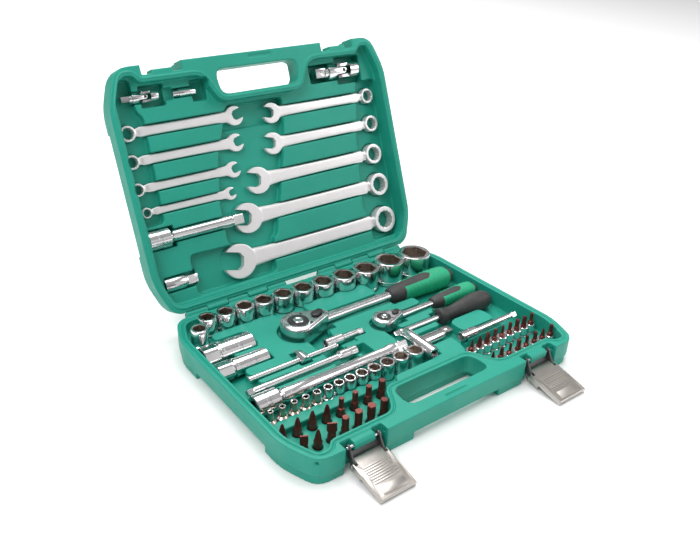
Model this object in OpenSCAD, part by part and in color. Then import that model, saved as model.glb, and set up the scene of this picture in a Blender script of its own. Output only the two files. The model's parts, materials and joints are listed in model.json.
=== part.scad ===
// Mechanic's socket and wrench set in a hinged, blow-moulded carry case, drawn with the lid open.
// Millimetres. The origin is the centre of the case's underside: +X runs along the hinge,
// +Y runs from the carry handle to the hinge, +Z is up.

/* [Case] */
// Width of the case, along the hinge
case_w = 390; // [388:1:394]
// Depth of the case, from the handle side to the hinge side
case_d = 284; // [283:1:286]
// Height of the base, from its underside to its rim
base_h = 32; // [31.5:0.5:34]
// Thickness of the lid, from its rim to its outside
lid_h = 30; // [30:0.5:33]
// Angle that the lid stands open at
open_angle = 112; // [100:1:116]
// Height of the straight part of the side walls, below the rim
wall_h = 21; // [18:1:22]

/* [Latches] */
// Distance of each latch from the middle of the case
latch_x = 123.5; // [122:0.5:124]
// Angle that an open latch link hangs at, measured from its closed place
link_angle = 148; // [144:1:150]
// Angle that an open latch lever lies at, measured from its closed place
lever_angle = 76; // [73:1:77]

/* [Tools] */
// Clearance round each tool in its pocket
pocket_gap = 0.6; // [0.5:0.05:0.8]
// Across-flats sizes of the half-inch drive sockets
half_sizes = [13, 14, 15, 16, 17, 18, 19, 20, 22, 24, 27, 30];
// Across-flats sizes of the quarter-inch drive sockets
quarter_sizes = [4, 4.5, 5, 5.5, 6, 7, 8, 9, 10, 11, 12, 13, 14];
// Sizes of the combination wrenches that lie with the ring to the left
left_wrenches = [12, 11, 10, 8];
// Sizes of the combination wrenches that lie with the ring to the right
right_wrenches = [13, 14, 17, 19, 22];

/* [Hidden] */
$fn = 48;
HULL_FN = 32;
WRENCHES = concat(left_wrenches, right_wrenches);

EPS = 0.01;
ABOVE = 60;            // cutters reach this far above a rim
half_w = case_w / 2;
half_d = case_d / 2;
foot_inset = 1.5;      // the corner feet stand this far inside the walls
floor_inset = 10;      // the underside is this much smaller than the rim, all round
base_deck = 24;        // height of the tray's raised fields in the base
base_floor = 11;       // height of the sunken floor between them
base_ledge = 19;       // height of the ledge that the half-inch sockets stand in
lid_deck = -13;        // the lid's raised fields, measured from its rim
lid_channel = -23;     // the lid's sunken channels, measured from its rim
lid_deep = -25.5;      // the deepest of them
window_x = 58;         // half the width of the carry-handle opening
bar_depth = 15.5;      // depth of the handle bar in front of that opening
window_depth = 29.5;
recess_x = 25;         // half the width of a latch recess
recess_depth = 11;
hinge_y = half_d + 2.5;
hinge_z = base_h + 1;
hinge_pin_r = 1.5;
knuckle_r = 3.2;
knuckle_len = 28;
hinge_x0 = 25;         // each hinge station starts this far from the middle
RUN_FIT = 0.06;        // radial clearance of a pin in its hole

// Closed-polygon helpers: points run anticlockwise.
function left_of(a, b) = let (u = (b - a) / norm(b - a)) [-u[1], u[0]];
function inset(p, d) = let (n = len(p)) [for (i = [0:n - 1])
    let (m = left_of(p[(i + n - 1) % n], p[i]) + left_of(p[i], p[(i + 1) % n]))
    p[i] + 2 * d * m / (m * m)];
function rounded(p, r) = let (n = len(p)) [for (i = [0:n - 1])
    let (b = p[i], back = p[(i + n - 1) % n] - b, on = p[(i + 1) % n] - b,
         t = min(r, norm(back) * 0.45, norm(on) * 0.45))
    for (j = [0:0.25:1]) b + t * (back / norm(back) * (1 - j) * (1 - j) + on / norm(on) * j * j)];
function flipped(p) = [for (i = [len(p) - 1:-1:0]) [-p[i][0], p[i][1]]];

rim_outline = let (right = [[half_w - 16, -half_d], [half_w, -half_d + 42],
                            [half_w, half_d - 42], [half_w - 16, half_d]])
    rounded(concat(right, flipped(right)), 15);

// Inner edge of the rim: it passes behind the latches and round the handle opening.
tray_edge = let (right = [[58.5, -half_d + 53], [76.5, -half_d + 19], [153, -half_d + 19],
                          [160, -half_d + 10], [half_w - 22.5, -half_d + 10],
                          [half_w - 9.5, -half_d + 44], [half_w - 9.5, half_d - 44],
                          [half_w - 22.5, half_d - 10]])
    rounded(concat(right, flipped(right)), 11);

window_outline = let (right = [[window_x, -half_d + bar_depth],
                               [window_x - 3, -half_d + bar_depth + window_depth]])
    rounded(concat(right, flipped(right)), 11);

module plate(outline, z0, z1) {
    translate([0, 0, z0]) linear_extrude(z1 - z0) polygon(outline);
}

module box(x0, x1, y0, y1, z0, z1) {
    translate([x0, y0, z0]) cube([x1 - x0, y1 - y0, z1 - z0]);
}

module rod_x(x0, x1, y, z, r) {
    translate([x0, y, z]) rotate([0, 90, 0]) cylinder(r = r, h = x1 - x0);
}

module rod_y(x, y0, y1, z, r) {
    translate([x, y0, z]) rotate([-90, 0, 0]) cylinder(r = r, h = y1 - y0);
}

// A half of the case as one closed body: its rim is at z = 0 and its handle side at -Y.
module half_shell(h) {
    feet = inset(rim_outline, foot_inset);
    difference() {
        union() {
            hull() {
                plate(rim_outline, -wall_h, 0);
                plate(inset(rim_outline, floor_inset), -h, -h + 3);
            }
            intersection() {
                plate(feet, -h, -wall_h / 2);
                union() for (s = [-1, 1]) {
                    box(s > 0 ? 61 : -half_w, s > 0 ? half_w : -61, -half_d, -73, -h, 0);
                    box(s > 0 ? 105 : -half_w, s > 0 ? half_w : -105, 67, half_d, -h, 0);
                }
            }
        }
        box(-61, 61, -half_d - 1, -half_d + 47, -h - 1, -wall_h - 1);
        plate(window_outline, -h - 1, 1);
        for (s = [-1, 1])
            box(s * latch_x - recess_x, s * latch_x + recess_x,
                -half_d - 1, -half_d + recess_depth, -h - 1, 1);
    }
}

module seal(low, high, wide) {
    difference() {
        plate(inset(tray_edge, -4 - wide / 2), low, high);
        plate(inset(tray_edge, -4 + wide / 2), low - 1, high + 1);
    }
}

// Knuckles alternate: the base has three at each station and the lid two between them.
function knuckle_x(i) = hinge_x0 + i * knuckle_len;

module knuckles(first, r, margin) {
    for (s = [-1, 1]) for (i = [first:2:4])
        rod_x(s > 0 ? knuckle_x(i) - margin : -knuckle_x(i + 1) - margin,
              s > 0 ? knuckle_x(i + 1) + margin : -knuckle_x(i) + margin, 0, 0, r);
}

module knuckle_webs(first, y0, y1, z0, z1) {
    for (s = [-1, 1]) for (i = [first:2:4])
        box(s > 0 ? knuckle_x(i) : -knuckle_x(i + 1), s > 0 ? knuckle_x(i + 1) : -knuckle_x(i),
            y0, y1, z0, z1);
}

module at_hinge() { translate([0, hinge_y, hinge_z]) children(); }

module hinge_bore(r) { at_hinge() rod_x(-half_w, half_w, 0, 0, r); }

// Lid frame: x along the hinge, y from the hinge side to the handle side, z out of the lid.
module closed_lid() { translate([0, half_d, base_h]) rotate([180, 0, 0]) children(); }

module opened() { at_hinge() rotate([-open_angle, 0, 0]) translate([0, -hinge_y, -hinge_z]) children(); }

module in_lid() { opened() closed_lid() children(); }

/* ---- places of the tools in the base ---- */
socket_gap_half = 2;
socket_gap_quarter = 2;
half_row_x = -151;     // middle of the second socket: the first stands in front of it
half_row_back = 129;   // the row's backs stand along this line
quarter_row_x = -175.5;
quarter_row_y = -56;
bit_af = 25.4 / 4;      // across flats of a small screwdriver bit
big_bit_af = 25.4 * 5 / 16;
bit_len = 30;
// Radius of each large bit just below its tip, and at the end of it
bit_tips = [[3.7, 1.2], [3.7, 1.3], [3.8, 1.4], [3.8, 1.4], [3.2, 3.1], [3.4, 3.3], [3.6, 3.5], [3.9, 3.8],
            [4.3, 4.2], [3.7, 1.3], [5.2, 5.1], [3.7, 3.6], [4.2, 4.1], [4.6, 4.5], [4.2, 3.1]];
spark_r = [13.8, 11];
spark_y = [70, 37.5];
spark_z = 20.5;
spark_x0 = -184;
spark_len = 63;
ratchet_half_at = [-66, 56, 26];
half_grip = [137, 246, 14.3];      // start, end and radius
ratchet_quarter_at = [28, 13.5, 25];
quarter_grip = [77, 155, 10.5];
quarter_k = 0.67;      // size of the small ratchet, from the large one
spinner_at = [20.5, -14, 24];
tbar_at = [-94, 5, 25];
ext_half_long_at = [-181, -34, 22.5];
ext_quarter_long_at = [-36, -14, 25];
ext_quarter_mid_at = [81, -61, 25];
ext_quarter_short_at = [-57, 15, 24];
tee_at = [32, -44.4, 25];

function half_od(i) = 1.33 * half_sizes[i] + 2.4;
function half_len(i) = half_sizes[i] > 24 ? 40 : 38;
function half_x(i) = i == 0 ? -170 : i == 1 ? half_row_x
    : half_x(i - 1) + (half_od(i - 1) + half_od(i)) / 2 + socket_gap_half;
function half_y(i) = i == 0 ? 101 : half_row_back - 0.54 * half_od(i);
function quarter_od(i) = 1.3 * quarter_sizes[i] + 1.3;
function quarter_wide(i) = max(12, quarter_od(i));
function quarter_x(i) = i == 0 ? quarter_row_x
    : quarter_x(i - 1) + (quarter_wide(i - 1) + quarter_wide(i)) / 2 + socket_gap_quarter;
half_foot = 2.6;       // height that the half-inch sockets stand at
quarter_foot = 5.5;
bit_foot = 2.2;
bit_socket_foot = 2.4;

bit_places = concat([for (i = [0:7]) [-177.5 + 17.7 * i, -80]],
                    [for (i = [0:6]) [-170 + 16.3 * i, -105.5]]);
bit_socket_places = concat([for (i = [0:8]) [76 + 12.6 * i, -83]],
                           [for (i = [0:7]) [78 + 14 * i, -112.5]]);

/* ---- places of the tools in the lid: x, y, z in the lid frame ---- */
wrench_z = -19.5;
left_wrench_places = [[-175, 213.5, 139], [-178, 181.5, 136], [-179, 150, 126], [-175, 122.5, 111]];
right_wrench_places = [[170, 209, 155], [168.5, 171.5, 160], [162.5, 130.5, 187], [162, 88, 212],
                       [160.5, 38.5, 235]];
ext_half_short_at = [-184.5, 90, -15.2];
half_adapter_at = [-176, 35, -18.2];
bit_adapter_at = [-111, 249.5, -18];
ujoint_half_at = [132.5, 247, -16.2];
ujoint_half_r = 11;
ujoint_half_k = 0.9;
ujoint_quarter_at = [-147, 250.5, -16.2];
ujoint_quarter_k = 0.58;
swing = 12;            // sideways swing that a pocket leaves a universal joint

/* ---- case ---- */
// Straight trench for a tool that lies along X, from its underside up.
module trench_x(x0, x1, y, z, r) {
    box(x0 - pocket_gap, x1 + pocket_gap, y - r - pocket_gap, y + r + pocket_gap,
        z - r - pocket_gap, ABOVE);
}

module well(x, y, r, z0) {
    translate([x, y, z0]) cylinder(r = r + pocket_gap, h = ABOVE);
}

module ratchet_pocket(k, at, grip, deep) {
    translate([at[0], at[1], 0]) {
        well(-1.5, -1, 23.5 * k, at[2] - 9.6 * k);
        well(0, 0, 12 * k, at[2] - 9 * k - deep);
        box(0, 42 * k, -18.6 * k, 18.6 * k, at[2] - 9.6 * k, ABOVE);
        box(30 * k, grip[0] + 2, -10 * k, 10 * k, at[2] - 9.6 * k, ABOVE);
        box(grip[0] - 4, grip[1] + 2, -grip[2] - 2, grip[2] + 2, at[2] - grip[2] - pocket_gap, ABOVE);
    }
}

// Raised fields of the base's tray, between the sunken channels.
base_fields = [
    [[-118, -27], [-70, -27], [-70, 104], [-156, 104], [-156, 91], [-118, 91]],
    [[-152, 50], [-110, 50], [-110, 60], [-152, 60]],
    [[-158, 11], [-100, 11], [-100, 25], [-158, 25]],
    [[-155, -6], [-100, -6], [-100, 5], [-155, 5]],
    [[-150, -26], [-90, -26], [-90, -13], [-150, -13]],
    [[-40, 24], [98, 24], [98, 40], [60, 50], [-30, 50]],
    [[-40, -27], [17, -27], [17, 26], [-40, 26]],
    [[-30, 73], [67, 73], [67, 102], [-30, 102]],
    [[38, -7], [90, -7], [98, 4], [98, 12], [38, 12]],
    [[42, -27], [82, -27], [80, -16], [42, -16]],
    [[95, -52], [148, -52], [148, -28], [120, -24], [95, -29]],
    [[84, -69], [150, -69], [150, -57], [84, -57]],
    [[32, -51], [74, -51], [72, -74], [64, -88], [-36, -88], [-30, -73], [32, -73]],
];
base_ledges = [
    [[-190, 84], [70, 100], [70, 140], [-190, 140]],
    [[-190, -75], [-40, -75], [-40, -61], [-190, -61]],
    [[-190, -134], [-151, -134], [-151, -121], [-190, -121]],
    [[190, -134], [190, -121], [151, -121], [151, -134]],
];

// Everything above the tray's floor, with its fields and ledges left standing.
module base_tray() {
    difference() {
        plate(tray_edge, base_floor, ABOVE);
        for (f = base_fields) plate(rounded(f, 7), 0, base_deck);
        for (f = base_ledges) plate(rounded(f, 5), 0, base_ledge);
    }
}

module base_pockets() {
    for (i = [0:len(half_sizes) - 1])
        well(half_x(i), half_y(i), max(half_od(i), 22) / 2, half_foot);
    for (i = [0:len(quarter_sizes) - 1])
        well(quarter_x(i), quarter_row_y, quarter_wide(i) / 2, quarter_foot);
    for (p = bit_places) well(p[0], p[1], big_bit_af * 0.577, bit_foot);
    for (p = bit_socket_places) well(p[0], p[1], 6, bit_socket_foot);
    for (i = [0, 1])
        trench_x(spark_x0, spark_x0 + spark_len, spark_y[i], spark_z, spark_r[i]);
    ratchet_pocket(1, ratchet_half_at, half_grip, 13.5);
    ratchet_pocket(quarter_k, ratchet_quarter_at, quarter_grip, 8.5);
    trench_x(spinner_at[0] - 1, spinner_at[0] + 74, spinner_at[1], spinner_at[2], 4.5);
    trench_x(spinner_at[0] + 66, spinner_at[0] + 158, spinner_at[1], spinner_at[2], 12);
    trench_x(tbar_at[0] - 90, tbar_at[0] + 73, tbar_at[1], tbar_at[2], 3.6);
    box(tbar_at[0] - 8, tbar_at[0] + 8, tbar_at[1] - 9, tbar_at[1] + 17, tbar_at[2] - 8, ABOVE);
    trench_x(ext_half_long_at[0], ext_half_long_at[0] + 203, ext_half_long_at[1],
             ext_half_long_at[2], 7.5);
    trench_x(ext_half_long_at[0], ext_half_long_at[0] + 37, ext_half_long_at[1],
             ext_half_long_at[2], 11.8);
    trench_x(-181, ext_quarter_long_at[0] + 3, ext_quarter_long_at[1], ext_quarter_long_at[2], 6);
    trench_x(ext_quarter_mid_at[0] - 3, 180, ext_quarter_mid_at[1], ext_quarter_mid_at[2], 6);
    trench_x(ext_quarter_short_at[0], -3, ext_quarter_short_at[1], ext_quarter_short_at[2], 6);
    box(tee_at[0] - 9, tee_at[0] + 9, tee_at[1] - 27, tee_at[1] + 26, tee_at[2] - 9, ABOVE);
    trench_x(tee_at[0], tee_at[0] + 53, tee_at[1], tee_at[2], 8);
    // finger scoop at the end of the long quarter-inch bar
    box(-33, -18, -28, -5, base_floor, ABOVE);
}

module latch_boss() {
    rotate([90, 0, 90]) translate([0, 0, latch_x - 12.5]) linear_extrude(25)
        polygon([[-half_d + recess_depth + 1, base_h - 11], [-half_d + 4, base_h - 11],
                 [-half_d + 2.5, base_h - 9], [-half_d + 2.5, base_h - 4],
                 [-half_d + 5, base_h - 1.5], [-half_d + recess_depth + 1, base_h - 1]]);
}

link_pivot_y = -half_d + 5.5;
link_pivot_z = base_h - 6;

module base_shell() {
    color("lightseagreen") difference() {
        union() {
            difference() {
                translate([0, 0, base_h]) half_shell(base_h);
                base_tray();
                base_pockets();
                box(-17, 13, -half_d + 4, -half_d + 7.5, base_h - 1.5, ABOVE);
                translate([0, 0, base_h]) seal(-1.8, 1, 2.4);
                at_hinge() knuckles(1, knuckle_r + 0.6, 0.4);
            }
            for (s = [0, 1]) mirror([s, 0, 0]) latch_boss();
            at_hinge() {
                knuckles(0, knuckle_r, -0.3);
                knuckle_webs(0, -3.5, knuckle_r, -9, 0);
            }
        }
        hinge_bore(hinge_pin_r + 0.03);
        rod_x(-half_w, half_w, link_pivot_y, link_pivot_z, 1.5 + 0.03);
        // a gap at each end of every knuckle web, so that the lid's knuckles pass
        for (s = [-1, 1]) for (i = [1, 2, 3, 4])
            box(s * knuckle_x(i) - 0.35, s * knuckle_x(i) + 0.35, half_d, half_d + 10, base_h - 10, base_h + 10);
    }
}

// Lid pocket for a wrench: a shank trench with a wide place at each end.
module wrench_pocket(size, place, toward) {
    x_open = place[0] + toward * place[2];
    x0 = min(place[0], x_open);
    x1 = max(place[0], x_open);
    z0 = wrench_z - ring_t(size) / 2 - pocket_gap;
    w = shank_w(size) / 2 + 1;
    box(x0, x1, place[1] - w, place[1] + w, wrench_z - shank_t(size) / 2 - pocket_gap, ABOVE);
    well(place[0], place[1], ring_od(size) / 2 + 1, z0);
    well(x_open, place[1], open_w(size) / 2 + 1, wrench_z - open_t(size) / 2 - pocket_gap);
}

// Sunken fields of the lid: under both rows of rings, and between the open ends.
lid_fields = [
    [[-186, 106], [-158, 106], [-153, 228], [-160, 236], [-160, 272], [-176, 272], [-186, 255]],
    [[-85, 62], [-15, 55], [8, 120], [22, 165], [30, 197], [30, 205], [-56, 205], [-72, 170], [-84, 112]],
    [[-138, 13], [-26, 13], [-18, 60], [-138, 63]],
    [[134, 14], [176, 14], [186, 40], [186, 230], [152, 230], [148, 200], [138, 160], [132, 110],
     [126, 60], [134, 46]],
];
lid_deep_field = [[-60, 197], [30, 197], [33, 227], [-48, 227]];

module lid_pockets() {
    for (i = [0:len(left_wrenches) - 1])
        wrench_pocket(left_wrenches[i], left_wrench_places[i], 1);
    for (i = [0:len(right_wrenches) - 1])
        wrench_pocket(right_wrenches[i], right_wrench_places[i], -1);
    for (f = lid_fields) plate(rounded(f, 7), lid_channel, ABOVE);
    plate(rounded(lid_deep_field, 7), lid_deep, ABOVE);
    // extension bar, adapters and universal joints
    trench_x(ext_half_short_at[0], -56, ext_half_short_at[1], ext_half_short_at[2], 7.5);
    trench_x(ext_half_short_at[0], -150, ext_half_short_at[1], ext_half_short_at[2], 12);
    trench_x(half_adapter_at[0], half_adapter_at[0] + 43, half_adapter_at[1], half_adapter_at[2], 9);
    trench_x(bit_adapter_at[0], bit_adapter_at[0] + 29, bit_adapter_at[1], bit_adapter_at[2], 5.2);
    box(-88, -69, 237, 262, lid_channel, ABOVE);
    box(-122, -112, 243, 257, -19, ABOVE);
    trench_x(82, 134, ujoint_half_at[1], ujoint_half_at[2], ujoint_half_r);
    box(124, 164, 229.5, 264.8, -27.5, ABOVE);
    trench_x(-172, -148, ujoint_quarter_at[1], ujoint_quarter_at[2], 6.6);
    box(-152, -122, 238, 263, -24, ABOVE);
}

module lid_keeper() {
    box(latch_x - 12.5, latch_x + 12.5, case_d - recess_depth - 1, case_d - 6.4, -16.5, 0);
}

module lid_shell() {
    color("lightseagreen") opened() difference() {
        union() {
            difference() {
                closed_lid() union() {
                    difference() {
                        translate([0, half_d, 0]) mirror([0, 1, 0]) half_shell(lid_h);
                        translate([0, half_d, 0]) mirror([0, 1, 0]) plate(tray_edge, lid_deck, ABOVE);
                        lid_pockets();
                        box(-10, 22, case_d - 7.5, case_d - 3.5, -1.5, ABOVE);
                    }
                    translate([0, half_d, 0]) mirror([0, 1, 0]) seal(-1, 1.2, 1.4);
                    for (s = [0, 1]) mirror([s, 0, 0]) lid_keeper();
                }
                at_hinge() knuckles(0, knuckle_r + 0.6, 0.4);
            }
            at_hinge() {
                knuckles(1, knuckle_r, -0.3);
                knuckle_webs(1, -3.5, knuckle_r, 0, 8);
            }
        }
        hinge_bore(hinge_pin_r + RUN_FIT);
        for (s = [-1, 1]) for (i = [1, 2, 3, 4])
            box(s * knuckle_x(i) - 0.35, s * knuckle_x(i) + 0.35, half_d, half_d + 10, base_h - 10, base_h + 10);
    }
}

module hinge_pins() {
    color("silver") at_hinge() for (s = [-1, 1])
        rod_x(s > 0 ? knuckle_x(0) + 1 : -knuckle_x(5) + 1,
              s > 0 ? knuckle_x(5) - 1 : -knuckle_x(0) - 1, 0, 0, hinge_pin_r);
}

/* ---- latches: closed place, then swung open ---- */
lever_pin_dy = -1;     // lever pin from the link's own pivot, latch closed
lever_pin_dz = 19;

module link_swing() {
    translate([0, link_pivot_y, link_pivot_z]) rotate([link_angle, 0, 0]) children();
}

module at_lever_pin() { link_swing() translate([0, lever_pin_dy, lever_pin_dz]) children(); }

module lever_swing() { at_lever_pin() rotate([-link_angle - lever_angle, 0, 0]) children(); }

module latch_pivot_pins() {
    color("silver") for (s = [-1, 1])
        rod_x(s * latch_x - 20.5, s * latch_x + 20.5, link_pivot_y, link_pivot_z, 1.5);
}

module latch_link(s) {
    color("dimgray") link_swing() translate([s * latch_x, 0, 0]) difference() {
        union() {
            for (e = [-1, 1]) {
                rod_x(e * 18 - 1, e * 18 + 1, 0, 0, 3.2);
                rod_x(e * 18 - 1, e * 18 + 1, lever_pin_dy, lever_pin_dz, 3.2);
                box(e * 18 - 1, e * 18 + 1, -3.6, 2.2, 0, lever_pin_dz);
            }
            box(-19, 19, -5, -3.5, 5.5, 11.4);
        }
        rod_x(-30, 30, 0, 0, 1.5 + RUN_FIT);
        rod_x(-30, 30, lever_pin_dy, lever_pin_dz, 1.5 + 0.03);
    }
}

module lever_pin(s) {
    color("silver") at_lever_pin() rod_x(s * latch_x - 21.4, s * latch_x + 21.4, 0, 0, 1.5);
}

lever_len = 44;
module latch_lever(s) {
    color("gainsboro") lever_swing() translate([s * latch_x, 0, 0]) difference() {
        union() {
            box(-20.6, 20.6, -6, -4.6, -lever_len, -3);
            box(-16, 16, -6, -4.6, -4, 5.5);
            box(-10, 10, -5, 5, 4, 5.5);
            for (e = [-1, 1]) {
                rod_x(e * 20.3 - 0.7, e * 20.3 + 0.7, 0, 0, 3);
                box(e * 20.3 - 0.7, e * 20.3 + 0.7, -6, 1.5, -14, 0);
                box(e * 20.3 - 0.7, e * 20.3 + 0.7, -6, -1.5, -lever_len, -13);
            }
            box(-20.6, 20.6, -6, -3, -lever_len, -lever_len + 1.2);
            for (i = [0:7]) box(-15, 15, -6.6, -5.8, -9 - 2.6 * i, -7.8 - 2.6 * i);
            box(-14, 14, -6.5, -5.8, -40, -31.5);
        }
        rod_x(-30, 30, 0, 0, 1.5 + RUN_FIT);
    }
}

/* ---- ratchets: gear axis along Z at the origin, handle along +X, k scales the head ---- */
gear_teeth = 24;

module toothed(r0, r1, h) {
    linear_extrude(h) polygon([for (i = [0:2 * gear_teeth - 1])
        let (a = i * 180 / gear_teeth, r = i % 2 ? r1 : r0) [r * cos(a), r * sin(a)]]);
}

module teardrop(r0, r1, x, h) {
    hull() {
        cylinder(r = r0, h = h, $fn = HULL_FN);
        translate([x, 0, 0]) cylinder(r = r1, h = h, $fn = HULL_FN);
    }
}

module ratchet_body(k, grip_x0) {
    color("silver") difference() {
        union() {
            translate([0, 0, -9 * k]) teardrop(21 * k, 9 * k, 33 * k, 20.5 * k);
            rod_x(30 * k, grip_x0 + 40, 0, 0, 5 * k);
            translate([30 * k, 0, 0]) rotate([0, 90, 0])
                cylinder(r1 = 8.6 * k, r2 = 6.5 * k, h = grip_x0 - 30 * k);
        }
        translate([0, 0, -6 * k]) cylinder(r = 15.4 * k, h = 22 * k);
        translate([0, 0, -10 * k]) cylinder(r = 9.06 * k, h = 20 * k);
        translate([0, 0, 9 * k]) teardrop(18.1 * k, 6.1 * k, 33 * k, 5);
        box(10 * k, 28 * k, -9 * k, 9 * k, -6 * k, 10.5 * k);
    }
}

module ratchet_cover(k) {
    color("gainsboro") {
        difference() {
            translate([0, 0, 9.05 * k]) teardrop(18 * k, 6 * k, 33 * k, 2.4 * k);
            translate([0, 0, 7 * k]) cylinder(r = 12.56 * k, h = 8);
            translate([24 * k, 0, 7 * k]) cylinder(r = 3.06 * k, h = 8);
            for (a = [-1, 1]) translate([14.5 * k * cos(50), 14.5 * k * a * sin(50), 7 * k])
                cylinder(r = 1.25 * k, h = 8);
        }
        for (a = [-1, 1]) translate([14.5 * k * cos(50), 14.5 * k * a * sin(50), 9.1 * k])
            cylinder(r = 1.2 * k, h = 2.7 * k);
    }
}

module ratchet_gear(k, drive, drive_len) {
    color("dimgray") difference() {
        union() {
            translate([0, 0, -5.8 * k]) toothed(13.6 * k, 15 * k, 12 * k);
            translate([0, 0, 6 * k]) cylinder(r = 12.5 * k, h = 6.1 * k);
            translate([0, 0, -9 * k]) cylinder(r = 9 * k, h = 3.5 * k);
            translate([-drive / 2, -drive / 2, -9 * k - drive_len]) cube([drive, drive, drive_len + 1]);
        }
        cylinder(r = 6.56 * k, h = 14 * k);
    }
}

module ratchet_pawl(k) {
    color("gray") difference() {
        box(13 * k, 20.4 * k, -7 * k, 7 * k, -5 * k, 5 * k);
        translate([0, 0, -8 * k]) cylinder(r = 15.3 * k, h = 16 * k);
    }
}

module ratchet_lever(k) {
    color("dimgray") translate([24 * k, 0, 0]) {
        translate([0, 0, 2 * k]) cylinder(r = 3 * k, h = 10.5 * k);
        translate([0, 0, 11.8 * k]) teardrop(5.4 * k, 2.4 * k, 12 * k, 3.2 * k);
    }
}

module ratchet_button(k) {
    color("silver") translate([0, 0, 3 * k]) cylinder(r = 6.5 * k, h = 10.5 * k);
}

// Half outline of a handle: x along it, radius across it.
module grip_turned(x0, x1, r) {
    translate([x0, 0, 0]) rotate([0, 90, 0]) rotate_extrude()
        polygon([[0, 0], [0.66 * r, 0], [0.84 * r, 6], [0.88 * r, 0.3 * (x1 - x0)],
                 [r, 0.62 * (x1 - x0)], [r, x1 - x0 - 12], [0.86 * r, x1 - x0 - 3],
                 [0.6 * r, x1 - x0], [0, x1 - x0]]);
}

module inlay_zone(x0, x1, r, slack) {
    box(x0 + 14 - slack, x1 - 14 + slack, -0.5 * r - slack, 0.5 * r + slack, 0.45 * r - slack, 2 * r);
}

module ratchet_grip(k, x0, x1, r) {
    color("darkslategray") difference() {
        grip_turned(x0, x1, r);
        rod_x(x0 - 1, x0 + 41, 0, 0, 5 * k + 0.03);
        inlay_zone(x0, x1, r, 0.05);
        translate([x1 - 9, 0, -r]) cylinder(r = 2.2, h = 2 * r);
    }
}

module ratchet_inlay(x0, x1, r) {
    color("mediumseagreen") intersection() {
        grip_turned(x0, x1, r + 0.3);
        inlay_zone(x0, x1, r, 0);
    }
}

module half_ratchet() { translate(ratchet_half_at) children(); }

module quarter_ratchet() { translate(ratchet_quarter_at) children(); }

/* ---- drive pieces ---- */
half_drive = 12.7;
quarter_drive = 6.35;

module square_x(x0, x1, y, z, af) {
    box(x0, x1, y - af / 2, y + af / 2, z - af / 2, z + af / 2);
}

// Extension bar along +X from its female end: a socketed head, a bar and a square tip.
module extension(drive, head_r, bar_r, length) {
    head = 2.2 * drive;
    color("silver") difference() {
        union() {
            rod_x(0, head, 0, 0, head_r);
            translate([head, 0, 0]) rotate([0, 90, 0])
                cylinder(r1 = head_r, r2 = bar_r, h = drive * 0.6);
            rod_x(head, length - 1.2 * drive, 0, 0, bar_r);
            square_x(length - 1.3 * drive, length, 0, 0, drive - 0.1);
            translate([length - 0.6 * drive, 0, 0.42 * drive]) sphere(r = 0.16 * drive);
        }
        square_x(-1, 1.3 * drive, 0, 0, drive + 0.15);
    }
}

module spinner_shaft() {
    color("silver") translate(spinner_at) union() {
        square_x(0, 9, 0, 0, quarter_drive);
        rod_x(8, 12, 0, 0, 4.5);
        rod_x(12, 130, 0, 0, 3.6);
        translate([4.5, 0, 0.42 * quarter_drive]) sphere(r = 1);
    }
}

module spinner_grip() {
    color("dimgray") translate(spinner_at) difference() {
        translate([70, 0, 0]) rotate([0, 90, 0]) rotate_extrude()
            polygon([[0, 0], [7, 0], [9, 4], [8, 16], [11, 33], [12, 56], [11.6, 76], [8.5, 86], [0, 87]]);
        rod_x(60, 130.5, 0, 0, 3.6 + 0.03);
    }
}

tbar_len = 116;
module tbar_rod() {
    color("silver") translate(tbar_at) {
        rod_x(-70, tbar_len - 70, 0, 0, 3);
        for (x = [-70, tbar_len - 72]) rod_x(x, x + 2, 0, 0, 3.5);
    }
}

module tbar_head() {
    color("silver") translate(tbar_at) difference() {
        union() {
            rod_y(0, -6.5, 6.5, 0, 6.5);
            box(-quarter_drive / 2, quarter_drive / 2, 6, 15, -quarter_drive / 2, quarter_drive / 2);
        }
        rod_x(-10, 10, 0, 0, 3 + RUN_FIT);
    }
}

module tee_adapter() {
    color("silver") translate(tee_at) difference() {
        union() {
            rod_y(0, -24.5, 24.5, 0, 7.6);
            rod_x(0, 34, 0, 0, 7.2);
            square_x(32, 47, 0, 0, half_drive - 2);
            translate([41, 0, 0.34 * half_drive]) sphere(r = 2);
        }
        for (e = [-1, 1]) translate([-4.7, e > 0 ? 12 : -25, -4.7]) cube([9.4, 13, 9.4]);
    }
}

module half_adapter() {
    color("silver") in_lid() translate(half_adapter_at) difference() {
        union() {
            rod_x(0, 25, 0, 0, 9);
            rod_x(24, 29, 0, 0, 7.2);
            square_x(28, 42, 0, 0, half_drive - 2.5);
        }
        square_x(-1, 14, 0, 0, half_drive + 0.15 - 3.2);
    }
}

module bit_adapter() {
    color("silver") in_lid() translate(bit_adapter_at) difference() {
        union() {
            rod_x(0, 9, 0, 0, 4.4);
            rod_x(8, 28.5, 0, 0, 5.2);
        }
        square_x(-1, 9, 0, 0, quarter_drive + 0.15);
        translate([16, 0, 0]) rotate([0, 90, 0]) cylinder(r = bit_af / sqrt(3) + 0.2, h = 20, $fn = 6);
    }
}

/* ---- universal joints: cross at the origin, drive fork to -X, socket fork to +X ---- */
uj_reach = 13;         // from the cross to the solid part of each fork
uj_pin_r = 2.5;

module uj_fork(side, upright) {
    r = ujoint_half_r;
    rotate([upright ? 0 : 90, 0, 0]) intersection() {
        rotate([0, 90, 0]) translate([0, 0, -uj_reach - 1]) cylinder(r = r, h = 2 * uj_reach + 2);
        difference() {
            for (e = [-1, 1]) {
                translate([0, 0, e > 0 ? 6 : -r]) cylinder(r = 5, h = r - 6);
                box(side > 0 ? 0 : -uj_reach - 1, side > 0 ? uj_reach + 1 : 0, -5, 5,
                    e > 0 ? 6 : -r, e > 0 ? r : -6);
            }
            translate([0, 0, -r - 1]) cylinder(r = uj_pin_r + RUN_FIT, h = 2 * r + 2);
        }
    }
}

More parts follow.
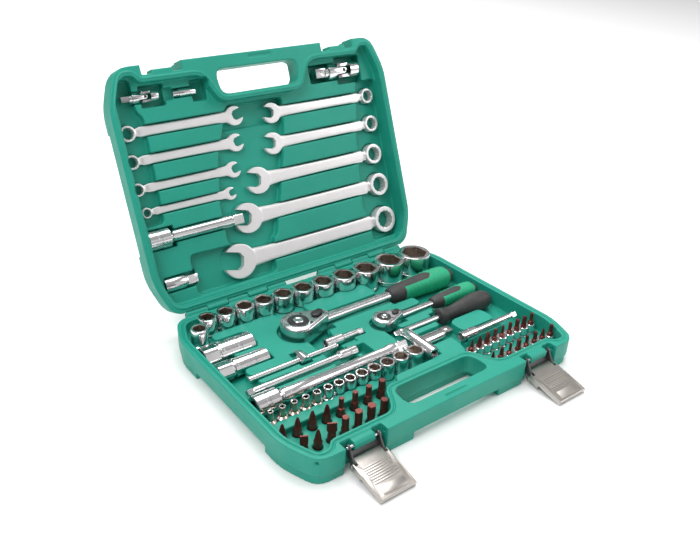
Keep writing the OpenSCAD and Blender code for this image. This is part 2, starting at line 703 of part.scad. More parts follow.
module uj_drive(drive) {
    color("silver") union() {
        uj_fork(-1, true);
        rod_x(-uj_reach - 12, -uj_reach, 0, 0, ujoint_half_r);
        rod_x(-uj_reach - 18, -uj_reach - 11, 0, 0, 8);
        square_x(-uj_reach - 34, -uj_reach - 17, 0, 0, drive);
    }
}

module uj_cross() {
    color("dimgray") union() {
        translate([-4, -4, -4]) cube(8);
        translate([0, 0, -10]) cylinder(r = uj_pin_r, h = 20);
        rod_y(0, -10, 10, 0, uj_pin_r);
    }
}

module uj_socket(drive) {
    color("silver") union() {
        uj_fork(1, false);
        difference() {
            rod_x(uj_reach, 28, 0, 0, ujoint_half_r);
            square_x(16, 30, 0, 0, drive);
        }
    }
}

module half_ujoint() { in_lid() translate(ujoint_half_at) scale(ujoint_half_k) children(); }

module quarter_ujoint() { in_lid() translate(ujoint_quarter_at) scale(ujoint_quarter_k) children(); }

/* ---- sockets and bits ---- */
module hex_hole(af, z0, z1) {
    translate([0, 0, z0]) cylinder(r = af / sqrt(3), h = z1 - z0, $fn = 6);
}

// A socket that stands on its drive end, with its hexagon at the top.
module socket(af, od, base_od, length, drive) {
    difference() {
        union() {
            cylinder(d = base_od, h = length * 0.45);
            cylinder(d = od, h = length);
        }
        hex_hole(af, length * 0.55, length + 1);
        translate([0, 0, -1]) cylinder(r = min(af, drive) * 0.42, h = length);
        translate([-drive / 2, -drive / 2, -1]) cube([drive, drive, drive * 1.1 + 1]);
    }
}

module sockets_half() {
    color("silver") for (i = [0:len(half_sizes) - 1])
        translate([half_x(i), half_y(i), half_foot])
            socket(half_sizes[i], half_od(i), max(half_od(i), 22), half_len(i), half_drive);
}

module sockets_quarter() {
    color("silver") for (i = [0:len(quarter_sizes) - 1])
        translate([quarter_x(i), quarter_row_y, quarter_foot])
            socket(quarter_sizes[i], quarter_od(i), quarter_wide(i), 25, quarter_drive);
}

module spark_socket(i, af) {
    r = spark_r[i];
    color("silver") translate([spark_x0, spark_y[i], spark_z]) difference() {
        union() {
            rod_x(0, spark_len, 0, 0, r - 0.5);
            rod_x(0, 24, 0, 0, r);
        }
        translate([-1, 0, 0]) rotate([0, 90, 0]) cylinder(r = af / sqrt(3), h = 30, $fn = 6);
        rod_x(20, spark_len - 10, 0, 0, af / 2 - 1);
        square_x(spark_len - 14, spark_len + 1, 0, 0, half_drive + 0.15);
    }
}

module screwdriver_bits() {
    color("maroon") for (i = [0:len(bit_places) - 1])
        translate([bit_places[i][0], bit_places[i][1], bit_foot]) {
            cylinder(r = big_bit_af / sqrt(3), h = 17, $fn = 6);
            translate([0, 0, 17]) cylinder(r1 = bit_tips[i][0], r2 = bit_tips[i][1], h = bit_len - 17);
        }
}

bit_socket_h = 20;
module bit_sockets() {
    color("silver") for (p = bit_socket_places) translate([p[0], p[1], bit_socket_foot]) difference() {
        cylinder(r = 6, h = bit_socket_h);
        translate([0, 0, 10]) cylinder(r = 3.72, h = 20, $fn = 6);
        translate([-quarter_drive / 2, -quarter_drive / 2, -1]) cube([quarter_drive, quarter_drive, 9]);
    }
}

module bit_socket_tips() {
    color("maroon") for (p = bit_socket_places) translate([p[0], p[1], bit_socket_foot]) {
        translate([0, 0, 10.1]) cylinder(r = 3.66, h = 15, $fn = 6);
        translate([0, 0, 25]) cylinder(r1 = 2.6, r2 = 1.3, h = 8.6);
    }
}

/* ---- combination wrenches ---- */
function ring_od(s) = max(1.43 * s + 1, 1.75 * s - 2.8);
function ring_t(s) = 0.45 * s + 3.5;
function open_w(s) = 1.98 * s;
function open_t(s) = 0.28 * s + 2;
function shank_w(s) = 0.8 * s + 2.6;
function shank_t(s) = 0.22 * s + 2;

// Ring at the origin, jaws at +X.
module wrench(s, length) {
    jaw_angle = 15;
    difference() {
        union() {
            translate([0, 0, -ring_t(s) / 2]) cylinder(d = ring_od(s), h = ring_t(s));
            translate([0, 0, -shank_t(s) / 2]) linear_extrude(shank_t(s))
                polygon([[0, -shank_w(s) * 0.42], [length, -shank_w(s) / 2],
                         [length, shank_w(s) / 2], [0, shank_w(s) * 0.42]]);
            translate([length, 0, -open_t(s) / 2]) cylinder(d = open_w(s), h = open_t(s));
        }
        for (turn = [0, 30]) rotate([0, 0, turn]) hex_hole(s, -ring_t(s), ring_t(s));
        translate([length, 0, 0]) rotate([0, 0, jaw_angle])
            box(-0.28 * s, 2 * s, -s / 2, s / 2, -s, s);
    }
}

module left_wrench(i) {
    p = left_wrench_places[i];
    color("silver") in_lid() translate([p[0], p[1], wrench_z]) wrench(left_wrenches[i], p[2]);
}

module right_wrench(i) {
    p = right_wrench_places[i];
    color("silver") in_lid() translate([p[0], p[1], wrench_z]) mirror([1, 0, 0])
        wrench(right_wrenches[i], p[2]);
}

base_shell();
lid_shell();
hinge_pins();
latch_pivot_pins();
latch_link(-1);  // latch_link_left
latch_link(1);  // latch_link_right
latch_lever(-1);  // latch_lever_left
latch_lever(1);  // latch_lever_right
lever_pin(-1);  // lever_pin_left
lever_pin(1);  // lever_pin_right
half_ratchet() ratchet_body(1, half_grip[0]);  // ratchet_half_body
half_ratchet() ratchet_cover(1);  // ratchet_half_cover
half_ratchet() ratchet_gear(1, half_drive, 12.5);  // ratchet_half_gear
half_ratchet() ratchet_pawl(1);  // ratchet_half_pawl
half_ratchet() ratchet_lever(1);  // ratchet_half_lever
half_ratchet() ratchet_button(1);  // ratchet_half_button
half_ratchet() ratchet_grip(1, half_grip[0], half_grip[1] - 2, half_grip[2]);  // ratchet_half_grip
half_ratchet() ratchet_inlay(half_grip[0], half_grip[1] - 2, half_grip[2]);  // ratchet_half_inlay
quarter_ratchet() ratchet_body(quarter_k, quarter_grip[0]);  // ratchet_quarter_body
quarter_ratchet() ratchet_cover(quarter_k);  // ratchet_quarter_cover
quarter_ratchet() ratchet_gear(quarter_k, quarter_drive, 7.5);  // ratchet_quarter_gear
quarter_ratchet() ratchet_pawl(quarter_k);  // ratchet_quarter_pawl
quarter_ratchet() ratchet_lever(quarter_k);  // ratchet_quarter_lever
quarter_ratchet() ratchet_button(quarter_k);  // ratchet_quarter_button
quarter_ratchet() ratchet_grip(quarter_k, quarter_grip[0], quarter_grip[1] - 2, quarter_grip[2]);  // ratchet_quarter_grip
quarter_ratchet() ratchet_inlay(quarter_grip[0], quarter_grip[1] - 2, quarter_grip[2]);  // ratchet_quarter_inlay
spinner_shaft();
spinner_grip();
tbar_rod();
tbar_head();
translate(ext_half_long_at) extension(half_drive, 11.8, 7, 200);  // extension_half_long
in_lid() translate(ext_half_short_at) extension(half_drive, 11.8, 7, 126);  // extension_half_short
translate(ext_quarter_long_at) rotate([0, 0, 180]) extension(quarter_drive, 6, 3.8, 141);  // extension_quarter_long
translate(ext_quarter_mid_at) extension(quarter_drive, 6, 3.8, 92);  // extension_quarter_mid
translate(ext_quarter_short_at) extension(quarter_drive, 6, 3.8, 53);  // extension_quarter_short
tee_adapter();
half_adapter();
bit_adapter();
half_ujoint() uj_drive(half_drive);  // ujoint_half_drive
half_ujoint() uj_cross();  // ujoint_half_cross
half_ujoint() uj_socket(half_drive);  // ujoint_half_socket
quarter_ujoint() uj_drive(10.5);  // ujoint_quarter_drive
quarter_ujoint() uj_cross();  // ujoint_quarter_cross
quarter_ujoint() uj_socket(10.7);  // ujoint_quarter_socket
spark_socket(0, 21);  // spark_socket_large
spark_socket(1, 16);  // spark_socket_small
sockets_half();
sockets_quarter();
screwdriver_bits();
bit_sockets();
bit_socket_tips();
for (i = [0:len(left_wrenches) - 1])
    left_wrench(i);
for (i = [0:len(right_wrenches) - 1])
    right_wrench(i);
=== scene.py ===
import json
import math

import bmesh
import bpy
import numpy as np
from mathutils import Matrix, Vector


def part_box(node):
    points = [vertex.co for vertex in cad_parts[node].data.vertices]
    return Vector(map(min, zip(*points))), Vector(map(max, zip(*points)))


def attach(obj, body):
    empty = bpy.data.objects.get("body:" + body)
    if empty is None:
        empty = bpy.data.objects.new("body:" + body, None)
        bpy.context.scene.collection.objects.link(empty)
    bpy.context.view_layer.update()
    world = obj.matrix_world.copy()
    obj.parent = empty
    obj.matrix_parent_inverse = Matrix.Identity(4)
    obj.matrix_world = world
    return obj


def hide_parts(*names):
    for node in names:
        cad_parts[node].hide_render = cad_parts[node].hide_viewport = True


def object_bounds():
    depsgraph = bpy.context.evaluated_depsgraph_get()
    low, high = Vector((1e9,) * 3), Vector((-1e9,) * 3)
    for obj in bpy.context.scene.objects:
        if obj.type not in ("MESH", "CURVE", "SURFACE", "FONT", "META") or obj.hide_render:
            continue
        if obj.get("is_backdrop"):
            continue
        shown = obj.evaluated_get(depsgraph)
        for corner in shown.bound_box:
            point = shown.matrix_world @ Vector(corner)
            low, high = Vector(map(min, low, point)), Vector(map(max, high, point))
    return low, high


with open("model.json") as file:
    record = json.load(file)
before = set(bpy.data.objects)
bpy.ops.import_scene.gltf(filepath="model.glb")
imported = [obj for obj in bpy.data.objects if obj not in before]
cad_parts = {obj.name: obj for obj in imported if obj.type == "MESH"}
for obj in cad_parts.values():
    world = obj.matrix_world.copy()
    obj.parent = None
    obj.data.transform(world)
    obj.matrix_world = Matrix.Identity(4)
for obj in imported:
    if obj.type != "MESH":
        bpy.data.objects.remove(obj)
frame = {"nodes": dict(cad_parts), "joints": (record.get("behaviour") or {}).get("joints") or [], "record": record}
SIZE_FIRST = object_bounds()
MM = 0.001
TAU = 2 * math.pi
N = 72
RECORD = frame["record"]
JOINTS = {j["name"]: j for j in frame["joints"]}
SCENE = bpy.context.scene.collection


# ---------------------------------------------------------------- materials
def material(name, build, metallic=0.0, rough=0.4, base=(0.8, 0.8, 0.8)):
    mat = bpy.data.materials.new(name)
    mat.use_nodes = True
    tree = mat.node_tree
    shader = tree.nodes["Principled BSDF"]
    shader.inputs["Base Color"].default_value = (*base, 1)
    shader.inputs["Metallic"].default_value = metallic
    shader.inputs["Roughness"].default_value = rough
    build(tree, shader)
    return mat


def coords(tree, scale=1.0, stretch=(1, 1, 1)):
    place = tree.nodes.new("ShaderNodeTexCoord")
    mapping = tree.nodes.new("ShaderNodeMapping")
    mapping.inputs["Scale"].default_value = [scale * s for s in stretch]
    tree.links.new(place.outputs["Object"], mapping.inputs["Vector"])
    return mapping.outputs["Vector"]


def noise(tree, vector, scale, detail=4.0, rough=0.55):
    n = tree.nodes.new("ShaderNodeTexNoise")
    n.inputs["Scale"].default_value = scale
    n.inputs["Detail"].default_value = detail
    n.inputs["Roughness"].default_value = rough
    tree.links.new(vector, n.inputs["Vector"])
    return n.outputs["Fac"]


def spread(tree, value, low, high, a=0.3, b=0.7):
    m = tree.nodes.new("ShaderNodeMapRange")
    m.inputs["From Min"].default_value = a
    m.inputs["From Max"].default_value = b
    m.inputs["To Min"].default_value = low
    m.inputs["To Max"].default_value = high
    tree.links.new(value, m.inputs["Value"])
    return m.outputs["Result"]


def mix(tree, factor, a, b):
    m = tree.nodes.new("ShaderNodeMix")
    m.data_type = "RGBA"
    tree.links.new(factor, m.inputs[0])
    m.inputs[6].default_value = (*a, 1)
    m.inputs[7].default_value = (*b, 1)
    return m.outputs[2]


def bump(tree, shader, height, strength, distance):
    b = tree.nodes.new("ShaderNodeBump")
    b.inputs["Strength"].default_value = strength
    b.inputs["Distance"].default_value = distance
    tree.links.new(height, b.inputs["Height"])
    tree.links.new(b.outputs["Normal"], shader.inputs["Normal"])


def plastic(tree, shader):
    v = coords(tree)
    tone = spread(tree, noise(tree, v, 9, 5), 0, 1)
    tree.links.new(mix(tree, tone, (0.009, 0.262, 0.188), (0.013, 0.300, 0.220)), shader.inputs["Base Color"])
    tree.links.new(spread(tree, noise(tree, v, 60, 6), 0.4, 0.54), shader.inputs["Roughness"])
    shader.inputs["Specular IOR Level"].default_value = 0.36
    bump(tree, shader, noise(tree, v, 1500, 3), 0.10, 0.0004)


def metal(tone_a, tone_b, rough_a, rough_b, grain=0.02, stretch=(1, 1, 1)):
    def build(tree, shader):
        v = coords(tree, 1.0, stretch)
        tone = spread(tree, noise(tree, v, 45, 5), 0, 1)
        tree.links.new(mix(tree, tone, tone_a, tone_b), shader.inputs["Base Color"])
        tree.links.new(spread(tree, noise(tree, v, 130, 6), rough_a, rough_b), shader.inputs["Roughness"])
        bump(tree, shader, noise(tree, v, 900, 4), grain, 0.0003)
    return build


def rubber(tone_a, tone_b, grain):
    def build(tree, shader):
        v = coords(tree)
        tone = spread(tree, noise(tree, v, 40, 6), 0, 1)
        tree.links.new(mix(tree, tone, tone_a, tone_b), shader.inputs["Base Color"])
        tree.links.new(spread(tree, noise(tree, v, 150, 5), 0.5, 0.68), shader.inputs["Roughness"])
        bump(tree, shader, noise(tree, v, 1800, 3), grain, 0.0004)
    return build


MATS = {
    "case_green": material("moulded_green", plastic),
    "chrome": material("polished_chrome", metal((0.70, 0.69, 0.70), (0.79, 0.78, 0.785), 0.10, 0.19,
                                                0.008), 1.0),
    "satin_chrome": material("satin_chrome", metal((0.76, 0.735, 0.74), (0.80, 0.775, 0.78), 0.30, 0.36,
                                                   0.002), 0.62),
    "dark_steel": material("black_steel", metal((0.045, 0.043, 0.045), (0.075, 0.07, 0.072), 0.28, 0.42,
                                                0.05), 0.75),
    "link_steel": material("link_steel", metal((0.10, 0.098, 0.10), (0.15, 0.145, 0.145), 0.32, 0.45,
                                               0.06), 0.8),
    "steel_pin": material("plain_steel", metal((0.5, 0.5, 0.51), (0.6, 0.6, 0.6), 0.2, 0.32), 1.0),
    "satin_nickel": material("satin_nickel", metal((0.45, 0.42, 0.39), (0.49, 0.46, 0.43), 0.28, 0.34,
                                                   0.004), 0.95),
    "grip_black": material("soft_black", rubber((0.026, 0.025, 0.026), (0.040, 0.038, 0.039), 0.12)),
    "grip_green": material("soft_green", rubber((0.003, 0.30, 0.145), (0.005, 0.35, 0.175), 0.12)),
    "bit_red": material("maroon_steel", metal((0.13, 0.032, 0.028), (0.20, 0.052, 0.042), 0.26, 0.42,
                                              0.04), 0.7),
    "ratchet_chrome": material("ratchet_chrome", metal((0.56, 0.56, 0.57), (0.66, 0.655, 0.66), 0.17, 0.27,
                                                       0.01), 1.0),
    # painted shade: a darker, browner metal for the inward faces of sockets, standing in for the shade inside
    # their bores
    "socket_inside": material("socket_inside", metal((0.46, 0.39, 0.34), (0.60, 0.53, 0.48), 0.24, 0.38,
                                                     0.01), 1.0),
}


# ---------------------------------------------------------------- mesh tools, millimetres
def flat(r):
    return r if callable(r) else (lambda a: r)


def polygon_r(sides, af, corner=1e9, turn=0.0):
    step = TAU / sides
    return lambda a: min(af / 2 / math.cos((a - turn) % step - step / 2), corner)


def square_r(af, corner=None):
    return polygon_r(4, af, corner or af * 0.66, TAU / 8)


def hex_r(af, corner=None):
    return polygon_r(6, af, corner or af * 0.562)


def bihex_r(af):
    a, b = polygon_r(6, af), polygon_r(6, af, 1e9, TAU / 12)
    return lambda t: max(a(t), b(t))


def cross_r(reach, half):
    def f(a):
        t = abs((a + TAU / 8) % (TAU / 4) - TAU / 8)
        return min(reach, half / max(math.sin(t), 1e-6))
    return f


def blade_r(reach, half):
    def f(a):
        return min(reach, half / max(abs(math.sin(a)), 1e-6))
    return f


def star_r(r):
    return lambda a: r * (0.88 + 0.12 * math.cos(6 * a))


def oval_r(a_half, b_half, power=2.0):
    def f(a):
        return (abs(math.cos(a) / a_half) ** power + abs(math.sin(a) / b_half) ** power) ** (-1 / power)
    return f


def ring_points(rings, n):
    out = []
    for ring in rings:
        z, r = ring[0], flat(ring[1])
        dx, dy = (ring[2], ring[3]) if len(ring) > 3 else (0, 0)
        out.append([(r(TAU * i / n) * math.cos(TAU * i / n) + dx,
                     r(TAU * i / n) * math.sin(TAU * i / n) + dy, z) for i in range(n)])
    return out


def stack(rings, through=False, n=N):
    """Rings joined one to the next: capped at both ends, or closed on itself round a through hole."""
    pts = ring_points(rings, n)
    verts = [p for ring in pts for p in ring]
    count = len(pts)
    faces = []
    for k in range(count if through else count - 1):
        a, b = k * n, ((k + 1) % count) * n
        faces += [(a + i, a + (i + 1) % n, b + (i + 1) % n, b + i) for i in range(n)]
    if not through:
        faces += [tuple(range(n))[::-1], tuple(range((count - 1) * n, count * n))]
    return verts, faces


def prism(outline, z0, z1):
    n = len(outline)
    verts = [(x, y, z0) for x, y in outline] + [(x, y, z1) for x, y in outline]
    faces = [tuple(range(n))[::-1], tuple(range(n, 2 * n))]
    faces += [(i, (i + 1) % n, n + (i + 1) % n, n + i) for i in range(n)]
    return verts, faces


def block(x0, x1, y0, y1, z0, z1):
    return prism([(x0, y0), (x1, y0), (x1, y1), (x0, y1)], z0, z1)


def circle(r, cx=0.0, cy=0.0, n=64, a0=0.0, a1=TAU):
    full = abs(a1 - a0 - TAU) < 1e-6
    m = n if full else n + 1
    return [(cx + r * math.cos(a0 + (a1 - a0) * i / n),
             cy + r * math.sin(a0 + (a1 - a0) * i / n)) for i in range(m)]


def hull2d(points):
    pts = sorted(set(points))

    def half(seq):
        out = []
        for p in seq:
            while len(out) > 1 and ((out[-1][0] - out[-2][0]) * (p[1] - out[-2][1])
                                    - (out[-1][1] - out[-2][1]) * (p[0] - out[-2][0])) <= 1e-9:
                out.pop()
            out.append(p)
        return out[:-1]
    return half(pts) + half(pts[::-1])


def joined(*parts):
    verts, faces = [], []
    for v, f in parts:
        k = len(verts)
        verts += list(v)
        faces += [tuple(i + k for i in face) for face in f]
    return verts, faces


def moved(part, matrix):
    verts, faces = part
    out = [tuple(matrix @ Vector(v)) for v in verts]
    if matrix.determinant() < 0:
        faces = [f[::-1] for f in faces]
    return out, faces


def at(x, y, z):
    return Matrix.Translation((x, y, z))


def scaled(k):
    return Matrix.Diagonal((k, k, k, 1))


ALONG_X = Matrix.Rotation(math.pi / 2, 4, "Y")
BACK_X = Matrix.Rotation(-math.pi / 2, 4, "Y")
ALONG_Y = Matrix.Rotation(-math.pi / 2, 4, "X")


def raw(part, name="work"):
    mesh = bpy.data.meshes.new(name)
    mesh.from_pydata(part[0], [], part[1])
    mesh.update()
    bm = bmesh.new()
    bm.from_mesh(mesh)
    bmesh.ops.recalc_face_normals(bm, faces=bm.faces)
    bm.to_mesh(mesh)
    bm.free()
    obj = bpy.data.objects.new(name, mesh)
    SCENE.objects.link(obj)
    return obj


def baked(obj):
    bpy.context.view_layer.update()
    graph = bpy.context.evaluated_depsgraph_get()
    mesh = bpy.data.meshes.new_from_object(obj.evaluated_get(graph))
    obj.modifiers.clear()
    old = obj.data
    obj.data = mesh
    bpy.data.meshes.remove(old)
    return obj


def boolean(obj, part, kind="DIFFERENCE"):
    tool = raw(part, "cutter") if isinstance(part, tuple) else part
    m = obj.modifiers.new("cut", "BOOLEAN")
    m.operation = kind
    m.solver = "MANIFOLD"
    m.object = tool
    baked(obj)
    bpy.data.objects.remove(tool)
    return obj


def bevel(obj, width, segments=2, angle=30):
    m = obj.modifiers.new("edge", "BEVEL")
    m.width = width
    m.segments = segments
    m.limit_method = "ANGLE"
    m.angle_limit = math.radians(angle)
    m.use_clamp_overlap = True
    m.harden_normals = False
    return baked(obj)


def soft(obj, voxel, passes, keep=1.0):
    """Rounds every edge, as in a moulding or a forging."""
    m = obj.modifiers.new("remesh", "REMESH")
    m.mode = "VOXEL"
    m.voxel_size = voxel
    m = obj.modifiers.new("round", "SMOOTH")
    m.factor = 0.5
    m.iterations = passes
    if keep < 1:
        m = obj.modifiers.new("thin", "DECIMATE")
        m.ratio = keep
    return baked(obj)


def edges_sharp(obj, angle=32):
    bm = bmesh.new()
    bm.from_mesh(obj.data)
    limit = math.radians(angle)
    for e in bm.edges:
        e.smooth = not (len(e.link_faces) == 2 and e.calc_face_angle(0) > limit)
    for f in bm.faces:
        f.smooth = True
    bm.to_mesh(obj.data)
    bm.free()


def piece(obj, name, body, slot, mat=None, nodes=(), matrix=None, sharp=32):
    """Finishes a piece drawn in millimetres: size, shading, finish, body and the CAD nodes it replaces."""
    if isinstance(obj, tuple):
        obj = raw(obj, name)
    if matrix is not None:
        obj.data.transform(matrix)
    obj.data.transform(scaled(MM))
    obj.name = name
    edges_sharp(obj, sharp)
    obj.data.materials.clear()
    obj.data.materials.append(MATS[mat or slot])
    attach(obj, body)
    if nodes:
        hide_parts(*nodes)
    return obj


def paint_bore_shade(obj, cx, cy):
    """Gives the faces that look towards the piece's upright axis a darker, browner metal: painted shade standing
    in for the shade inside the bore.
    """
    obj.data.materials.append(MATS["socket_inside"])
    for f in obj.data.polygons:
        x, y = f.center[0] - cx * MM, f.center[1] - cy * MM
        if f.normal[0] * x + f.normal[1] * y < -0.25 * math.hypot(x, y):
            f.material_index = 1


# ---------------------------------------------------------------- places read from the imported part
def node_points(node):
    me = frame["nodes"][node].data
    co = np.zeros(len(me.vertices) * 3)
    me.vertices.foreach_get("co", co)
    return co.reshape(-1, 3) * 1000


def islands(node):
    """Lowest and highest corner of each separate solid in a node, left to right."""
    me = frame["nodes"][node].data
    pts = node_points(node)
    keys = {}
    ids = [keys.setdefault(tuple(np.round(p, 3)), len(keys)) for p in pts]
    root = list(range(len(keys)))

    def find(i):
        while root[i] != i:
            root[i] = root[root[i]]
            i = root[i]
        return i
    for poly in me.polygons:
        first = find(ids[poly.vertices[0]])
        for v in poly.vertices:
            root[find(ids[v])] = first
    groups = {}
    for i, p in zip(ids, pts):
        groups.setdefault(find(i), []).append(p)
    boxes = [(np.min(g, 0), np.max(g, 0)) for g in groups.values()]
    return sorted(boxes, key=lambda b: b[0][0] + b[1][0])


def span(node):
    lo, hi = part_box(node)
    return [c * 1000 for c in lo], [c * 1000 for c in hi]


def middle(lo, hi):
    return [(a + b) / 2 for a, b in zip(lo, hi)]


HINGE = [c * 1000 for c in JOINTS["lid_hinge"]["pos_m"]]
OPEN = math.radians(-JOINTS["lid_hinge"]["range_deg"][0])
BASE_LO = span("base_shell")[0]
RIM = 32.0
HALF_D = -BASE_LO[1]
TO_OPEN = at(0, HINGE[1], HINGE[2]) @ Matrix.Rotation(-OPEN, 4, "X") @ at(0, -HINGE[1], -HINGE[2])
LID = TO_OPEN @ at(0, HALF_D, RIM) @ Matrix.Rotation(math.pi, 4, "X")


def lid_span(node):
    back = np.array(LID.inverted())
    pts = node_points(node) @ back[:3, :3].T + back[:3, 3]
    return pts.min(0), pts.max(0)


# ---------------------------------------------------------------- case
VOXEL = 0.8


def shell(node, name, body, matrix):
    obj = frame["nodes"][node].copy()
    obj.data = frame["nodes"][node].data.copy()
    for key in list(obj.keys()):
        del obj[key]
    obj.parent = None
    SCENE.objects.link(obj)
    obj.data.transform(scaled(1000))
    obj.data.transform(matrix.inverted())
    soft(obj, VOXEL, 4, 0.5)
    obj.hide_render = False
    return piece(obj, name, body, "case_green", nodes=[node], matrix=matrix, sharp=70)


shell("base_shell", "case_base_moulding", "case_base", Matrix.Identity(4))
shell("lid_shell", "case_lid_moulding", "lid", LID)


# ---------------------------------------------------------------- carried-over parts, with rounded edges
def dressed(node, body, slot, width, mat=None, sharp=32, segments=2):
    src = frame["nodes"][node]
    obj = bpy.data.objects.new(node + "_piece", src.data.copy())
    SCENE.objects.link(obj)
    obj.data.transform(scaled(1000))
    bm = bmesh.new()
    bm.from_mesh(obj.data)
    bmesh.ops.remove_doubles(bm, verts=bm.verts, dist=0.002)
    bmesh.ops.dissolve_limit(bm, angle_limit=math.radians(1.5), verts=bm.verts, edges=bm.edges)
    bm.to_mesh(obj.data)
    bm.free()
    bevel(obj, width, segments, 25)
    return piece(obj, node + "_piece", body, slot, mat, [node], sharp=sharp)


NODE_BODY = {n: b for b, ns in RECORD["behaviour"]["bodies"].items() for n in ns}
SLOT = {s["node"]: s["material_slot"] for s in RECORD["subparts"]}

for node in ("hinge_pins", "latch_pivot_pins", "lever_pin_left", "lever_pin_right"):
    dressed(node, NODE_BODY[node], SLOT[node], 0.3)
for side in ("left", "right"):
    dressed("latch_link_" + side, "latch_link_" + side, "dark_steel", 0.5, "link_steel")
    dressed("latch_lever_" + side, "latch_lever_" + side, "satin_nickel", 0.3)
    # Folded side rails and a rolled far edge, laid on the lever's outer face.
    mesh = frame["nodes"]["latch_lever_" + side].data
    face = max((f for f in mesh.polygons if f.normal[2] > 0.2), key=lambda f: f.area)
    up = Vector((0, face.normal[1], face.normal[2])).normalized()
    away = Vector((1, 0, 0)).cross(up)
    away = away if away[1] < 0 else -away
    corners = [v.co * 1000 for v in mesh.vertices]
    level = (face.center * 1000).dot(up)
    far = max(c.dot(away) for c in corners)
    x0, x1 = min(c[0] for c in corners), max(c[0] for c in corners)
    turn = Matrix(((1, 0, 0, 0), (0, up[1], away[1], 0), (0, up[2], away[2], 0), (0, 0, 0, 1)))
    trim = [block(x, x + 1.1, level - 0.6, level + 0.9, far - 30, far - 0.6) for x in (x0, x1 - 1.1)]
    for i, part in enumerate(trim):
        rail = raw(part)
        bevel(rail, 0.3, 2, 30)
        piece(rail, f"latch_lever_{side}_rail_{i + 1}", "latch_lever_" + side, "satin_nickel", matrix=turn,
              sharp=40)
    roll_edge = moved(stack([(0, 0.6), (0.4, 0.95), (x1 - x0 - 0.4, 0.95), (x1 - x0, 0.6)], False, 24),
                      at(x0, level + 0.1, far - 0.95) @ ALONG_X)
    piece(roll_edge, f"latch_lever_{side}_lip", "latch_lever_" + side, "satin_nickel", matrix=turn, sharp=40)


# ---------------------------------------------------------------- sockets and bits
def socket_rings(height, base_r, top_r, af, drive, band):
    inner = hex_r(af, af * 0.56)
    mid = height * 0.46
    step = max(base_r - top_r, top_r - base_r)
    rings = [(0, base_r - 0.7), (0.25, base_r - 0.3), (0.7, base_r)]
    if band:
        rings += [(mid - 5, base_r), (mid - 4.7, base_r - 0.4), (mid - 1.3, base_r - 0.4), (mid - 1, base_r)]
    else:
        rings += [(mid - 2, base_r)]
    rings += [(mid, base_r), (mid + max(0.3, step * 0.9), top_r)]
    rings += [(height - 0.9, top_r), (height - 0.3, top_r - 0.22), (height, top_r - 0.8)]
    rings += [(height, lambda a: max(inner(a), af * 0.5) + 0.45), (height - 0.9, inner),
              (height * 0.52, inner), (height * 0.52 - 0.2, min(af * 0.44, base_r - 2))]
    rings += [(drive * 1.15, min(af * 0.44, base_r - 2)), (drive * 1.12, square_r(drive)), (0,
        square_r(drive))]
    return rings


HALF_SIZES = [13, 14, 15, 16, 17, 18, 19, 20, 22, 24, 27, 30]
for i, (lo, hi) in enumerate(islands("sockets_half")):
    r = (hi[0] - lo[0]) / 2
    top = 1.33 * HALF_SIZES[i] / 2 + 1.2
    part = stack(socket_rings(hi[2] - lo[2], r, top, HALF_SIZES[i], 12.8, True), True)
    c = middle(lo, hi)
    obj = piece(part, f"half_socket_{HALF_SIZES[i]}", "sockets_half", "chrome", nodes=["sockets_half"],
                matrix=at(c[0], c[1], lo[2]) @ Matrix.Rotation(i * 1.1, 4, "Z"), sharp=24)
    # painted shade on the inward faces of the socket's bore
    paint_bore_shade(obj, c[0], c[1])

QUARTER_SIZES = [4, 4.5, 5, 5.5, 6, 7, 8, 9, 10, 11, 12, 13, 14]
for i, (lo, hi) in enumerate(islands("sockets_quarter")):
    r = (hi[0] - lo[0]) / 2
    top = 1.3 * QUARTER_SIZES[i] / 2 + 0.65
    part = stack(socket_rings(hi[2] - lo[2], r, top, QUARTER_SIZES[i], min(6.4, 2 * top - 2), False), True)
    c = middle(lo, hi)
    name = f"quarter_socket_{QUARTER_SIZES[i]}".replace(".", "_")
    obj = piece(part, name, "sockets_quarter", "chrome", nodes=["sockets_quarter"],
                matrix=at(c[0], c[1], lo[2]) @ Matrix.Rotation(i * 0.7, 4, "Z"), sharp=24)
    # painted shade on the inward faces of the socket's bore
    paint_bore_shade(obj, c[0], c[1])


def tip_rings(kind, base, length, size):
    """The working end of a bit: cross, blade, star or hexagon."""
    if kind == "cross":
        return [(base, cross_r(size, size * 0.62)), (base + length * 0.45, cross_r(size * 0.78, size * 0.34)),
                (base + length * 0.85, cross_r(size * 0.42, size * 0.2)), (base + length, size * 0.12)]
    if kind == "blade":
        return [(base, blade_r(min(size, 3.6), 3.2)), (base + length * 0.3, blade_r(size, 2.6)),
                (base + length * 0.6, blade_r(size * 0.98, 1.7)), (base + length, blade_r(size * 0.94, 0.9))]
    shape = star_r(size) if kind == "star" else hex_r(size * 1.72)
    small = star_r(size * 0.86) if kind == "star" else hex_r(size * 1.5)
    return [(base, shape), (base + length - 0.5, shape), (base + length, small)]


def bit_part(kind, size, af, shank, total):
    neck = shank + 1.6
    rings = [(0, hex_r(af - 0.8)), (0.5, hex_r(af)), (shank, hex_r(af)), (shank + 0.9,
        min(af * 0.48, size * 1.12 + 0.5)),
             (neck, min(size * 1.02, af * 0.46))]
    return stack(rings + tip_rings(kind, neck + 0.2, total - neck - 0.2, size))


